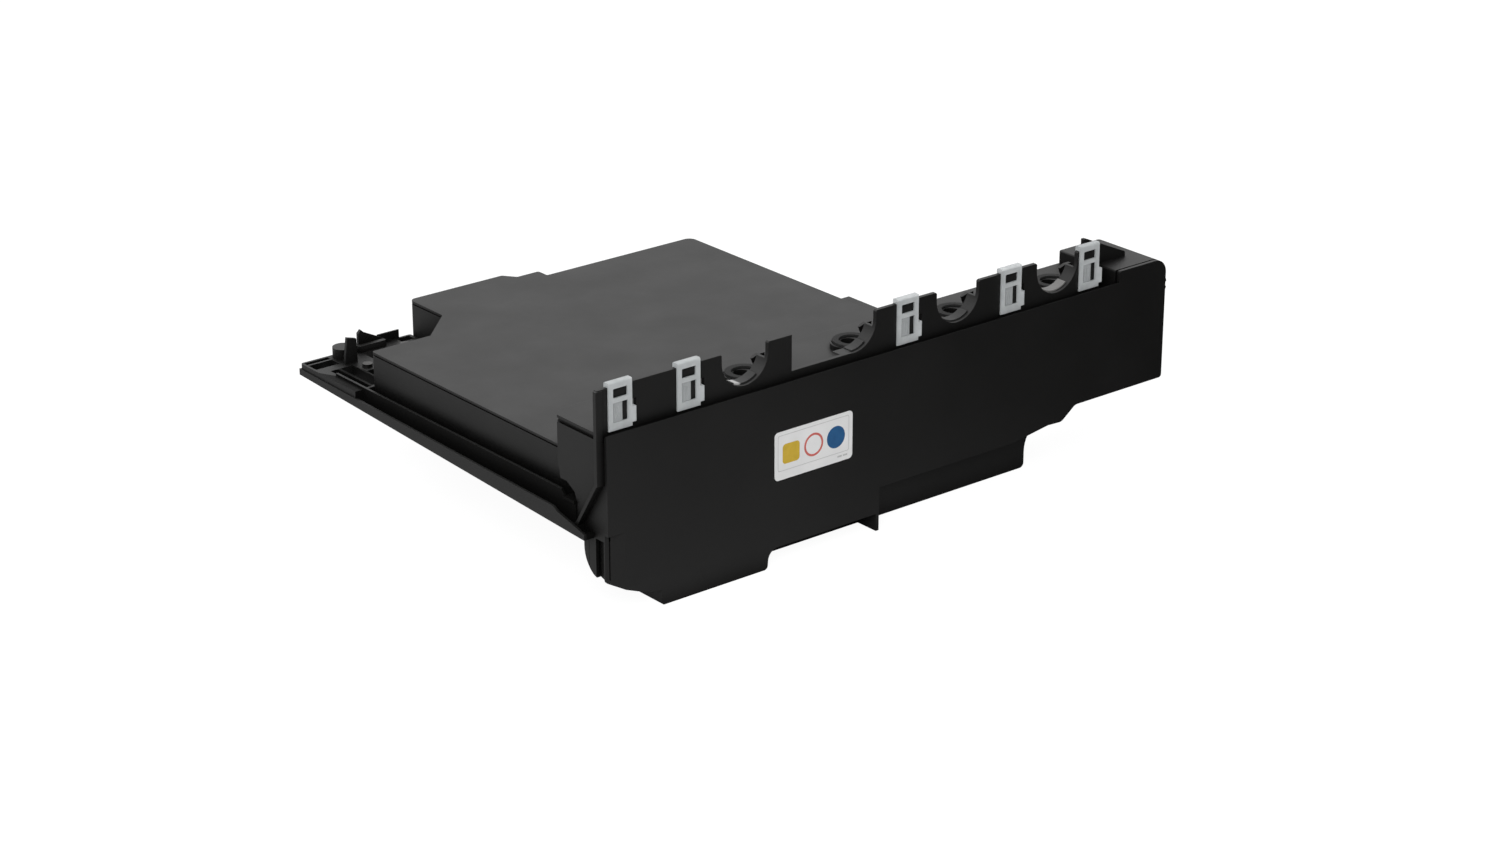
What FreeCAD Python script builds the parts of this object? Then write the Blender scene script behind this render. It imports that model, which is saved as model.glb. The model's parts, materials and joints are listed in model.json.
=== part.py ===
import FreeCAD, Part
import os
from math import cos, radians, sin, tan
from FreeCAD import Vector

# Waste toner container: a flat tank behind a long front trough with four inlets.
# While modelling, X runs along the front cover from its left end, Y runs back
# from its outer face, and Z rises from the plane that the container stands on.

# Main lengths
LENGTH = 418.0            # front cover, left end to right end
DEPTH = 292.0             # front cover's face to the tank's back
WALL = 2.2                # moulded wall
SEAM = 0.25               # gap between mouldings that close on each other

# Front cover
COVER_TOP = 108.0
COVER_DEPTH = 17.0        # how far its lower edge returns backwards
COVER_EDGE = 0.7          # thickness left along its bevelled top edge
STEP_X = 379.0            # where its top edge steps up at the drive end
STEP_TOP = 115.0
STEP_ROUND = 9.0
LOW_LEFT = 36.0           # low block
LOW_RIGHT = 110.0
PLATEAU_Z = 11.5          # underside right of the low block
FIN_X = 192.0
FIN_THICK = 2.2
FIN_BOTTOM = 1.0
MIDDLE_Z = 27.4           # underside right of the fin
RIGHT_Z = 39.0            # underside at the drive end
LEFT_Z = 22.5             # underside at the left end
CORNER_CUT_X = 11.4       # slanted corner below the ear
CORNER_CUT_Y = 3.0
EAR_Z = 50.0
JOINT_Y = 3.0             # joint line of cover and case, above its slanted stretch
JOINT_BEND_Z = 79.0
JOINT_FOOT_Y = 22.0
SLOT_FRONT = 4.0          # dark slot in the cover's left end
SLOT_BACK = 11.0
SLOT_DEEP = 3.0
SLOT_BOTTOM = 20.0
SLOT_TOP = 46.0

# Front trough and deck
TROUGH_BACK = 50.0
TROUGH_FLOOR = 50.0
DECK_TOP = 107.0
DECK_THICK = 1.6
DECK_GROOVE = 2.4         # height of the shadow groove below the deck's edge
DECK_SKIRT_INSET = 1.4
SKIRT_WALL = 1.8
POCKET_BACK = 16.0        # dark pocket left of the drive end
POCKET_FLOOR = 101.0
BRACE_Y = 18.0
BRACE_RIGHT = 401.0
LOWER_BACK = 21.5         # back of the narrow lower part of the trough
HEEL_ROUND = 17.0
PLATE_BACK = 44.0         # left end plate
DRIVE_X = 378.0           # left side of the raised drive end
PLATE_NOTCH_Z = 71.0      # top of the cut-out at the end plate's foot
CHANNEL_FRONT = 27.3

# Tank
TANK_LEFT = 6.0
TANK_RIGHT = 274.0
TANK_BACK = 275.0
TANK_STEP_Y = 233.0       # left part of the tank stops here
TANK_STEP_X = 47.0
BLOCK_X = 72.0            # left side of the block that reaches the full depth
BLOCK_Y = 257.0
TAB_LEFT = 146.0          # small step in the back edge
TAB_RIGHT = 162.0
TAB_BACK = 284.0
TANK_TOP = 86.0
LID_THICK = 1.4
LID_GROOVE = 0.9
LID_SKIRT_INSET = 0.9
TANK_FLOOR_FRONT = 45.0
TANK_FLOOR_BACK = 52.0

# Sump
SUMP_LEFT = 84.0
SUMP_RIGHT = 321.7
SUMP_BACK = 182.0
SUMP_BACK_TOP = 200.0
SUMP_TOP = 52.0           # roof of the stretch that lies beside the tank
SUMP_FLARE = 20.0
SUMP_FLARE_Z = 9.0
SUMP_ROUND = 3.0

# Notched wall
RIM_TOP = 134.0
RIM_BOTTOM = 96.0
RIM_FRONT = 4.0
RIM_THICK = 2.5
RIM_LEFT = -3.7
RIM_RIGHT = 366.0
INLET_FIRST = 94.4
INLET_PITCH = 77.7
INLET_COUNT = 4
NOTCH_RADIUS = 15.3
NOTCH_BOTTOM = 113.2
POST_RIGHT = 128.0        # post right of the first notch; a low stretch follows
LOW_RISE = 0.3            # low stretch above the notches' bottoms
PIPE_LENGTH = 6.5
PIPE_WALL = 1.8
FLANGE_OUT = 7.5
FLANGE_THICK = 2.4

# Inlet collars, set to the right of each notch
COLLAR_SHIFT = 15.2
COLLAR_Y = 22.6
COLLAR_OUTER = 10.5
COLLAR_HOLE = 6.0
COLLAR_TOP = 110.0
SEAL_THICK = 1.2
SEAL_INNER = 7.2
LUG_SHIFT = 17.0
LUG_LENGTH = 9.0
LUG_TOP = 120.5
LUG_Y = 15.5
LUG_THICK = 2.4
PAD_THICK = 0.8
PAD_LEFT_ANGLE = 30.0
PAD_RIGHT_ANGLE = 38.0

# Clips over the notched wall
CLIP_LEFTS = (4.0, 50.0, 207.1, 285.3, 348.6)
CLIP_WIDTH = 15.6
CLIP_BOTTOM = 108.6
CLIP_LEG = 1.6
CLIP_BRIDGE = 2.6
CLIP_BACK_BOTTOM = 121.0
WINDOW_WIDTH = 8.2
WINDOW_BOTTOM = 126.2
WINDOW_TOP = 131.8
RECESS_WIDTH = 9.2
RECESS_BOTTOM = 112.0
RECESS_TOP = 122.4
RECESS_DEEP = 0.7
TONGUE_SLOT = 2.2
TAB_OUT = 2.6
TAB_BOTTOM = 110.6
TAB_TOP = 119.4

# Sticker
LABEL_LEFT = 114.8
LABEL_BOTTOM = 51.4
LABEL_WIDTH = 56.4
LABEL_HEIGHT = 28.7
LABEL_ROUND = 2.6
LABEL_THICK = 0.3

# Guide rail on the left side
RAIL_OUT = -7.0
RAIL_FRONT = 27.0
RAIL_BACK = 292.0
RAIL_WALL = 1.6
RAIL_RIB_X = -0.8
RAIL_RIB_TOP = 65.4
BAND_TOP_FRONT = 56.0
BAND_TOP_BACK = 61.0
BAND_FOOT_FRONT = 43.0
BAND_FOOT_BACK = 56.5
BAND_ROUND = 6.0
FRAME_TOP = 64.0
FRAME_FOOT = 57.0
RIB_END = 262.0           # where the rail's rib turns out to the band
STUB_X = 63.5
STUB_RADIUS = 3.5
STUB_TOP = 68.0
TAB_HALF = 6.0            # case tabs under the end frame
TAB_HIGH = 4.0
BOSS_X = 23.0
BOSS_Y = 284.0
BOSS_RADIUS = 5.5
BOSS_TOP = 69.0
FIN_1_X = 13.5
FIN_1_Y = 273.0
FIN_1_WIDTH = 8.0
FIN_1_TOP = 80.5
FIN_2_X = 41.0
FIN_2_WIDTH = 10.5
FIN_2_TOP = 75.5
FIN_WALL = 2.0
SCREWS = ((22.0, 263.0), (58.0, 277.0))
SCREW_HEAD = 3.0
SCREW_HEAD_HIGH = 2.0
SCREW_SHANK = 1.5
SCREW_LONG = 8.0

# Auger and drive
AXIS_Y = 20.0
AXIS_Z = 92.5
SHAFT_RADIUS = 4.0
FLIGHT_RADIUS = 10.0
FLIGHT_THICK = 1.6
FLIGHT_PITCH = 34.0       # two half discs, one on each side of the mould's parting plane
FLIGHT_LEFT = 18.0
FLIGHT_RIGHT = 358.0
BUSH_RADIUS = 7.0
BUSH_FLANGE = 9.0
BUSH_FLANGE_THICK = 2.0
BUSH_LENGTH = 8.0
BUSH_BOSS = 9.5           # blind boss that holds the left bush
BUSH_PROUD = 0.6          # right bush's end past the right wall
RUNNING = 0.06            # radial running clearance in the bushes
END_PLAY = 0.4
SEAL_RADIUS = 9.0
FELT_THICK = 2.5
FELT_GAP = 0.3
COUPLING_RADIUS = 8.5
COUPLING_LENGTH = 12.0
COUPLING_SOCKET = 5.0
COUPLING_SLOT = 3.0
FLAT_CUT = 1.0            # how much the D shaft's flat takes off its radius

# Vent in the back wall
VENT_X = 215.0
VENT_WIDTH = 30.0
VENT_HEIGHT = 18.0
VENT_Z = 59.0
VENT_SLOTS = 4
VENT_SLOT = 1.6
FILTER_THICK = 2.0
FILTER_BORDER = 3.0

SUMP_FRONT = COVER_DEPTH + SEAM

# The part's own origin: middle of the sump's flat floor
ORIGIN = Vector((SUMP_LEFT + SUMP_RIGHT) / 2, (SUMP_FRONT + SUMP_BACK) / 2, 0)

RIM_BACK = RIM_FRONT + RIM_THICK
PIPE_TOP = NOTCH_BOTTOM + 10
FLANGE_FRONT = JOINT_Y + SEAM
BUSH_POCKET_END = WALL + BUSH_LENGTH
SHAFT_END = LENGTH + BUSH_PROUD + END_PLAY + COUPLING_SOCKET
NOTCH_Z = NOTCH_BOTTOM + NOTCH_RADIUS
WALL_TOP = DECK_TOP - DECK_THICK - DECK_GROOVE
TANK_WALL_TOP = TANK_TOP - LID_THICK - LID_GROOVE
INLETS = [INLET_FIRST + INLET_PITCH * i for i in range(INLET_COUNT)]
FAR = 600.0


# Basic forms

def place(plane, u, v, w):
    """Point of a flat outline: plane xy at height w, xz at depth w, or yz at width w."""
    if plane == "xy":
        return Vector(u, v, w)
    if plane == "xz":
        return Vector(u, w, v)
    return Vector(w, u, v)


def outline(corners, plane, w):
    """Closed wire through corners (u, v) or (u, v, radius of the rounded corner)."""
    spots = []
    for i, corner in enumerate(corners):
        before = Vector(*corners[i - 1][:2], 0)
        here = Vector(*corner[:2], 0)
        after = Vector(*corners[(i + 1) % len(corners)][:2], 0)
        radius = corner[2] if len(corner) > 2 else 0
        if radius == 0:
            spots.append((here,))
            continue
        back = (before - here).normalize()
        ahead = (after - here).normalize()
        half = back.getAngle(ahead) / 2
        reach = radius / tan(half)
        middle = here + (back + ahead).normalize() * (radius / sin(half) - radius)
        spots.append((here + back * reach, middle, here + ahead * reach))
    edges = []
    for i, spot in enumerate(spots):
        flat = [place(plane, p.x, p.y, w) for p in spot]
        if len(flat) == 3:
            edges.append(Part.Arc(*flat).toShape())
        end = flat[-1]
        start = place(plane, spots[(i + 1) % len(spots)][0].x, spots[(i + 1) % len(spots)][0].y, w)
        if end.distanceToPoint(start) > 0.001:
            edges.append(Part.LineSegment(end, start).toShape())
    return Part.Wire(edges)


def prism(corners, plane, start, end):
    """Straight solid of a flat outline, from start to end across its plane."""
    face = Part.Face(outline(corners, plane, start))
    return face.extrude(place(plane, 0, 0, end - start))


def block(x0, x1, y0, y1, z0, z1):
    return Part.makeBox(x1 - x0, y1 - y0, z1 - z0, Vector(x0, y0, z0))


def rod(radius, x0, x1, y, z):
    """Cylinder along X."""
    return Part.makeCylinder(radius, x1 - x0, Vector(x0, y, z), Vector(1, 0, 0))


def pin(radius, x, y, z0, z1):
    """Cylinder along Z."""
    return Part.makeCylinder(radius, z1 - z0, Vector(x, y, z0))


def join(shapes):
    return shapes[0].fuse(shapes[1:]).removeSplitter()


def inset(corners, amount):
    """Sharp-cornered outline moved inwards by amount, corners in anticlockwise order."""
    moved = []
    for i, corner in enumerate(corners):
        before = Vector(*corners[i - 1][:2], 0)
        here = Vector(*corner[:2], 0)
        after = Vector(*corners[(i + 1) % len(corners)][:2], 0)
        first = (here - before).normalize()
        second = (after - here).normalize()
        normal_1 = Vector(-first.y, first.x, 0)
        normal_2 = Vector(-second.y, second.x, 0)
        shift = (normal_1 + normal_2) * (amount / (1 + normal_1.dot(normal_2)))
        radius = corner[2] if len(corner) > 2 else 0
        turn = first.cross(second).z
        if radius:
            radius = max(radius - amount, 0) if turn > 0 else radius + amount
        moved.append((here.x + shift.x, here.y + shift.y, radius))
    return moved


# Outlines shared by the mouldings

def cover_outline():
    """Front view of the cover, anticlockwise from the low block's left foot."""
    return [
        (LOW_LEFT, 0, 1.5), (LOW_RIGHT, 0, 2.5), (LOW_RIGHT + 1, PLATEAU_Z, 7), (FIN_X, PLATEAU_Z, 0),
        (FIN_X, MIDDLE_Z, 0), (FIN_X + 104, MIDDLE_Z, 0), (FIN_X + 132, MIDDLE_Z + 4, 6),
        (FIN_X + 143, MIDDLE_Z + 3.5, 5), (FIN_X + 154, RIGHT_Z, 5),
        (LENGTH, RIGHT_Z, 2), (LENGTH, STEP_TOP, STEP_ROUND), (STEP_X, STEP_TOP, 1.0), (STEP_X, COVER_TOP, 0),
        (0, COVER_TOP, 0), (0, LEFT_Z, 3), (CORNER_CUT_X, LEFT_Z - 6.2, 4), (CORNER_CUT_X + 11, LEFT_Z - 10.6, 6),
        (LOW_LEFT, LEFT_Z - 13.5, 0),
    ]


def tank_outline():
    """Plan view of the tank, anticlockwise from its front left corner."""
    return [
        (TANK_LEFT, TROUGH_BACK - WALL, 0), (TANK_RIGHT, TROUGH_BACK - WALL, 0), (TANK_RIGHT, TANK_BACK, 5),
        (TAB_RIGHT, TANK_BACK, 1), (TAB_RIGHT, TAB_BACK, 1.5), (TAB_LEFT, TAB_BACK, 1), (TAB_LEFT - 6, DEPTH, 2),
        (BLOCK_X, DEPTH, 4), (BLOCK_X, BLOCK_Y, 1.5), (TANK_STEP_X, TANK_STEP_Y, 1.5), (TANK_LEFT, TANK_STEP_Y, 2),
    ]


def sump_outline():
    """Front view of the sump, anticlockwise, with its right side flaring outwards."""
    flare_right = SUMP_RIGHT + SUMP_FLARE
    flare_top = SUMP_FLARE_Z + SUMP_FLARE
    return [
        (SUMP_LEFT, 0, SUMP_ROUND), (SUMP_RIGHT, 0, SUMP_ROUND), (SUMP_RIGHT, flare_top, SUMP_FLARE - 1),
        (flare_right, flare_top, 0), (flare_right, SUMP_TOP, 0), (SUMP_LEFT, SUMP_TOP, 0),
    ]


def joint_zone(gap):
    """Everything in front of the joint line of cover and case, grown backwards by gap."""
    return prism([
        (-10, -10), (COVER_DEPTH + gap, -10), (COVER_DEPTH + gap, EAR_Z), (JOINT_FOOT_Y + gap, EAR_Z),
        (JOINT_Y + gap, JOINT_BEND_Z), (JOINT_Y + gap, RIM_TOP), (-10, RIM_TOP),
    ], "yz", -FAR, FAR)


def heel_cut(less):
    """What the rounded heel takes off the left end of the lower trough."""
    middle_y = LOWER_BACK - HEEL_ROUND
    middle_z = LEFT_Z + HEEL_ROUND - 1
    tool = block(-10, LOW_LEFT - 1 + less, middle_y, FAR, -10, middle_z)
    return tool.cut(rod(HEEL_ROUND - less, -20, LOW_LEFT + 10, middle_y, middle_z))


# Front cover

def front_form(less):
    """Solid behind the cover's face, moved inwards by less, as deep as the lower trough."""
    form = prism(inset(cover_outline(), less), "xz", less, LOWER_BACK - less)
    return form.cut(heel_cut(less))


def make_front_cover():
    shell = front_form(0).cut(front_form(WALL)).common(joint_zone(0))
    open_back = block(-10, FAR, WALL, FAR, EAR_Z + WALL, JOINT_BEND_Z + FAR)
    slant = [(JOINT_FOOT_Y, EAR_Z), (JOINT_Y, JOINT_BEND_Z), (WALL, JOINT_BEND_Z)]
    left_return = prism([(WALL, EAR_Z)] + slant, "yz", 0, WALL)
    right_return = prism([(WALL, RIGHT_Z), (COVER_DEPTH, RIGHT_Z), (COVER_DEPTH, EAR_Z)] + slant, "yz", LENGTH - WALL, LENGTH)
    shell = shell.cut(open_back)
    inside = block(WALL, LENGTH - WALL, WALL, FAR, LEFT_Z, COVER_TOP)
    shell = shell.cut(inside.common(block(-10, FAR, WALL, FAR, RIGHT_Z + WALL, FAR)))
    bevel = prism([(COVER_EDGE, COVER_TOP), (WALL + 1, COVER_TOP), (WALL + 1, COVER_TOP - 3)], "yz", -10, STEP_X)
    corner = prism([(-1, -1), (CORNER_CUT_X, -1), (CORNER_CUT_X, 0), (0, CORNER_CUT_Y), (-1, CORNER_CUT_Y)], "xy", 0, EAR_Z)
    slot = block(-1, SLOT_DEEP, SLOT_FRONT, SLOT_BACK, SLOT_BOTTOM - 10, SLOT_TOP)
    fin = block(FIN_X - FIN_THICK, FIN_X, 0, COVER_DEPTH, FIN_BOTTOM, PLATEAU_Z + WALL)
    slot_back = block(SLOT_DEEP, SLOT_DEEP + WALL, WALL, COVER_DEPTH, LEFT_Z, SLOT_TOP)
    slot_back = slot_back.common(front_form(0))
    cover = join([shell, left_return, right_return, fin, slot_back])
    return cover.cut(bevel).cut(corner).cut(slot)


# Lower case

def trough_outline():
    """Plan view of the front trough, its back left corner slanting to the tank's side."""
    return [
        (0, 0), (LENGTH, 0), (LENGTH, TROUGH_BACK, 3), (TANK_LEFT, TROUGH_BACK), (0, PLATE_BACK),
    ]


def channel_pocket(more):
    """Where the rail's channels reach in under the end plate, grown by more."""
    front = CHANNEL_FRONT - more
    return prism([
        (front, TROUGH_FLOOR - 20), (FAR, TROUGH_FLOOR - 20), (FAR, PLATE_NOTCH_Z + 6), (PLATE_BACK - 1, PLATE_NOTCH_Z + 6),
        (PLATE_BACK - 2, PLATE_NOTCH_Z + more), (front + 9, PLATE_NOTCH_Z + more), (front + 2, PLATE_NOTCH_Z - 4 + more),
        (front, PLATE_NOTCH_Z - 9),
    ], "yz", -20, TANK_LEFT + more)


def tank_floor_zone(less):
    """Everything above the tank's sloping underside, raised by less."""
    return prism([
        (0, TANK_FLOOR_FRONT + less), (TROUGH_BACK, TANK_FLOOR_FRONT + less), (DEPTH, TANK_FLOOR_BACK + less),
        (DEPTH, FAR), (0, FAR),
    ], "yz", -10, FAR)


def sump_form(less):
    """Sump moved inwards by less, roofed beside the tank and open into it below the tank."""
    form = prism(inset(sump_outline(), less), "xz", SUMP_FRONT + less, SUMP_BACK_TOP)
    throat = block(
        SUMP_LEFT + less, TANK_RIGHT - less, SUMP_FRONT + less, SUMP_BACK_TOP, SUMP_TOP - less - 1, SUMP_TOP + less)
    behind = prism([
        (SUMP_BACK - less, -1), (SUMP_BACK - less, 0), (SUMP_BACK_TOP - less, SUMP_TOP), (SUMP_BACK_TOP - less, FAR),
        (FAR, FAR), (FAR, -1),
    ], "yz", -10, FAR)
    return form.fuse(throat).cut(behind)


def case_form(less):
    """The closed body of the case, moved inwards by less on every side."""
    trough = prism(inset(trough_outline(), less), "xy", TROUGH_FLOOR + less, WALL_TOP + less)
    drive_end = block(SUMP_RIGHT + less, LENGTH - less, JOINT_Y, TROUGH_BACK - less, RIGHT_Z + less, TROUGH_FLOOR + WALL)
    lower = front_form(less).common(block(-10, FAR, -10, FAR, -10, TROUGH_FLOOR + WALL))
    tank = prism(inset(tank_outline(), less), "xy", 0, TANK_WALL_TOP + less).common(tank_floor_zone(less))
    return join([trough.cut(channel_pocket(less)), drive_end, lower, tank, sump_form(less)])


def make_lower_case():
    case = case_form(0).cut(case_form(WALL)).cut(joint_zone(SEAM))
    passage = block(
        TANK_LEFT + WALL, TANK_RIGHT - WALL, TROUGH_BACK - 2 * WALL, TROUGH_BACK + WALL,
        TROUGH_FLOOR + WALL, TANK_WALL_TOP + WALL)
    above_tank = block(TANK_LEFT, TANK_RIGHT, TROUGH_BACK - WALL, TROUGH_BACK + WALL, TANK_WALL_TOP, FAR)
    mouth = block(WALL, LENGTH - WALL, -10, COVER_DEPTH, TROUGH_FLOOR - 1, FAR)
    case = case.cut(passage).cut(above_tank).cut(mouth)
    boss = rod(BUSH_BOSS, WALL, BUSH_POCKET_END, AXIS_Y, AXIS_Z).cut(rod(BUSH_RADIUS, WALL, BUSH_POCKET_END, AXIS_Y, AXIS_Z))
    case = case.fuse(boss)
    case = case.cut(rod(BUSH_RADIUS, LENGTH - 2 * WALL, LENGTH + 1, AXIS_Y, AXIS_Z))
    pitch = (VENT_HEIGHT - 2 * FILTER_BORDER) / VENT_SLOTS
    for i in range(VENT_SLOTS):
        z = VENT_Z + FILTER_BORDER + pitch * (i + 0.5) - VENT_SLOT / 2
        case = case.cut(block(
            VENT_X + FILTER_BORDER, VENT_X + VENT_WIDTH - FILTER_BORDER, TANK_BACK - 2 * WALL, TANK_BACK + 1,
            z, z + VENT_SLOT))
    for x, y in SCREWS:
        tab = block(x - TAB_HALF, x + TAB_HALF, TANK_STEP_Y - 3, y + TAB_HALF, FRAME_FOOT - TAB_HIGH, FRAME_FOOT)
        case = case.fuse(tab.cut(case_form(WALL)))
        case = case.cut(pin(SCREW_SHANK, x, y, FRAME_FOOT - TAB_HIGH - 1, FRAME_FOOT + 1))
    return case.removeSplitter()


def make_vent_filter():
    return block(
        VENT_X, VENT_X + VENT_WIDTH, TANK_BACK - WALL - FILTER_THICK, TANK_BACK - WALL, VENT_Z, VENT_Z + VENT_HEIGHT)


# Top cover

def lid_with_skirt(corners, top, thick, groove, skirt_inset, bottom):
    """Plate with a skirt set back under its edge, so that a shadow groove runs round it."""
    plate = prism(corners, "xy", top - thick, top)
    skirt = prism(inset(corners, skirt_inset), "xy", bottom, top - thick)
    skirt = skirt.cut(prism(inset(corners, skirt_inset + SKIRT_WALL), "xy", bottom, top - thick))
    return plate.fuse(skirt)


def deck_outline():
    front = RIM_BACK + SEAM
    return [
        (0, front), (DRIVE_X, front), (DRIVE_X, TROUGH_BACK), (TANK_LEFT, TROUGH_BACK), (0, PLATE_BACK),
    ]


def drive_hood():
    """Raised box at the drive end, closed in front, right, behind and on top."""
    front = JOINT_Y + SEAM
    corners = [(DRIVE_X, WALL_TOP), (LENGTH, WALL_TOP), (LENGTH, STEP_TOP, STEP_ROUND), (DRIVE_X, STEP_TOP, 1)]
    inner = [(DRIVE_X + WALL, WALL_TOP - 1), (LENGTH - WALL, WALL_TOP - 1), (LENGTH - WALL, STEP_TOP - WALL, STEP_ROUND - WALL),
             (DRIVE_X + WALL, STEP_TOP - WALL)]
    hood = prism(corners, "xz", front, TROUGH_BACK)
    return hood.cut(prism(inner, "xz", front + WALL, TROUGH_BACK - WALL))


def inlet_collar(x):
    collar = pin(COLLAR_OUTER, x + COLLAR_SHIFT, COLLAR_Y, DECK_TOP - DECK_THICK, COLLAR_TOP)
    left = x + LUG_SHIFT
    lug = prism([
        (left, LUG_TOP), (left + 3, LUG_TOP - 5), (left + 3.5, DECK_TOP - DECK_THICK), (left + LUG_LENGTH, DECK_TOP - DECK_THICK),
        (left + LUG_LENGTH, LUG_TOP + 1.5), (left + LUG_LENGTH - 4, LUG_TOP + 1.5),
    ], "xz", LUG_Y, LUG_Y + LUG_THICK)
    return collar.fuse(lug)


def make_top_cover():
    deck = lid_with_skirt(deck_outline(), DECK_TOP, DECK_THICK, DECK_GROOVE, DECK_SKIRT_INSET, WALL_TOP)
    lid = lid_with_skirt(tank_outline(), TANK_TOP, LID_THICK, LID_GROOVE, LID_SKIRT_INSET, TANK_WALL_TOP)
    riser = block(TANK_LEFT, TANK_RIGHT, TROUGH_BACK - WALL, TROUGH_BACK, TANK_WALL_TOP, DECK_TOP - DECK_THICK)
    under_deck = block(
        TANK_LEFT + WALL, TANK_RIGHT - WALL, TROUGH_BACK - WALL - 1, TROUGH_BACK - WALL,
        TANK_WALL_TOP - 1, TANK_TOP)
    lid = lid.cut(under_deck)
    pocket = block(
        RIM_RIGHT, DRIVE_X + WALL, RIM_BACK + SEAM, POCKET_BACK + WALL, POCKET_FLOOR - WALL, DECK_TOP)
    cover = join([deck, lid, riser, drive_hood(), pocket] + [inlet_collar(x) for x in INLETS])
    cover = cover.cut(block(RIM_RIGHT + WALL, DRIVE_X, RIM_BACK, POCKET_BACK, POCKET_FLOOR, FAR))
    for x in INLETS:
        cover = cover.cut(pin(COLLAR_HOLE, x + COLLAR_SHIFT, COLLAR_Y, DECK_TOP - DECK_THICK - 1, LUG_TOP + 5))
    brace = prism([
        (RIM_RIGHT, DECK_TOP - DECK_THICK), (BRACE_RIGHT, DECK_TOP - DECK_THICK), (BRACE_RIGHT, STEP_TOP + 3),
        (RIM_RIGHT + 2, RIM_TOP - 1), (RIM_RIGHT, RIM_TOP - 1),
    ], "xz", BRACE_Y, BRACE_Y + LUG_THICK)
    return cover.fuse(brace).removeSplitter()


def make_inlet_seal(x):
    ring = pin(COLLAR_OUTER, x + COLLAR_SHIFT, COLLAR_Y, COLLAR_TOP, COLLAR_TOP + SEAL_THICK)
    ring = ring.cut(pin(SEAL_INNER, x + COLLAR_SHIFT, COLLAR_Y, COLLAR_TOP, COLLAR_TOP + SEAL_THICK))
    return ring.cut(block(
        x + LUG_SHIFT - 1, x + LUG_SHIFT + LUG_LENGTH + 1, 0, LUG_Y + LUG_THICK + SEAM, COLLAR_TOP, FAR))


# Notched wall with its joint flange

def notch(x):
    """U-shaped opening of one inlet, open at the top."""
    arc = Part.makeCylinder(NOTCH_RADIUS, RIM_THICK + 2 * SEAM, Vector(x, RIM_FRONT - SEAM, NOTCH_Z), Vector(0, 1, 0))
    return arc.fuse(block(
        x - NOTCH_RADIUS, x + NOTCH_RADIUS, RIM_FRONT - SEAM, RIM_BACK + SEAM, NOTCH_Z, RIM_TOP + 1))


def low_stretch():
    """What is missing above the low stretch between the first post and the second inlet."""
    return block(POST_RIGHT, INLETS[1], RIM_FRONT - 1, RIM_BACK + PIPE_LENGTH + 1, NOTCH_BOTTOM + LOW_RISE, FAR)


def half_pipe(x):
    y = RIM_BACK - 0.5
    pipe = Part.makeCylinder(NOTCH_RADIUS + PIPE_WALL, PIPE_LENGTH + 0.5, Vector(x, y, NOTCH_Z), Vector(0, 1, 0))
    pipe = pipe.cut(Part.makeCylinder(NOTCH_RADIUS, FAR, Vector(x, y - 1, NOTCH_Z), Vector(0, 1, 0)))
    return pipe.cut(block(x - 30, x + 30, y - 1, y + 30, PIPE_TOP, FAR))


def make_inlet_frame():
    wall = prism([
        (RIM_LEFT, RIM_BOTTOM), (RIM_RIGHT, RIM_BOTTOM), (RIM_RIGHT, RIM_TOP, 1), (RIM_LEFT, RIM_TOP, 1),
    ], "xz", RIM_FRONT, RIM_BACK)
    for x in INLETS:
        wall = wall.cut(notch(x))
    for left in CLIP_LEFTS:
        right = left + CLIP_WIDTH
        wall = wall.cut(block(right - 0.2, right + TAB_OUT + 0.9, RIM_FRONT - 1, RIM_BACK + 1, TAB_BOTTOM - 0.8, TAB_TOP + 3.6))
    wall = wall.cut(block(RIM_LEFT - 1, WALL + SEAM, RIM_FRONT - 1, RIM_BACK + 1, RIM_BOTTOM - 1, WALL_TOP))
    upright = block(-FLANGE_OUT, 0, FLANGE_FRONT, FLANGE_FRONT + FLANGE_THICK, JOINT_BEND_Z, RIM_TOP)
    slant = prism([
        (FLANGE_FRONT, JOINT_BEND_Z + 1), (JOINT_FOOT_Y + SEAM, EAR_Z), (JOINT_FOOT_Y + SEAM + FLANGE_THICK, EAR_Z),
        (FLANGE_FRONT + FLANGE_THICK, JOINT_BEND_Z + 1),
    ], "yz", -FLANGE_OUT, 0)
    corner = block(-FLANGE_OUT, RIM_LEFT + 1, RIM_FRONT - SEAM, FLANGE_FRONT + FLANGE_THICK, WALL_TOP, RIM_TOP)
    frame = join([wall, upright, slant, corner] + [half_pipe(x) for x in INLETS])
    return frame.cut(low_stretch())


def make_saddle_pad(x):
    """Thin pad that lines the bottom of a half pipe."""
    outer = Part.makeCylinder(NOTCH_RADIUS, PIPE_LENGTH, Vector(x, RIM_BACK, NOTCH_Z), Vector(0, 1, 0))
    pad = outer.cut(Part.makeCylinder(NOTCH_RADIUS - PAD_THICK, PIPE_LENGTH, Vector(x, RIM_BACK, NOTCH_Z), Vector(0, 1, 0)))
    reach = 2 * NOTCH_RADIUS
    wedge = prism([
        (x, NOTCH_Z), (x - reach * sin(radians(PAD_LEFT_ANGLE)), NOTCH_Z - reach * cos(radians(PAD_LEFT_ANGLE))),
        (x + reach * sin(radians(PAD_RIGHT_ANGLE)), NOTCH_Z - reach * cos(radians(PAD_RIGHT_ANGLE))),
    ], "xz", RIM_BACK, RIM_BACK + PIPE_LENGTH)
    return pad.common(wedge).cut(low_stretch())


# Clips

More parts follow.
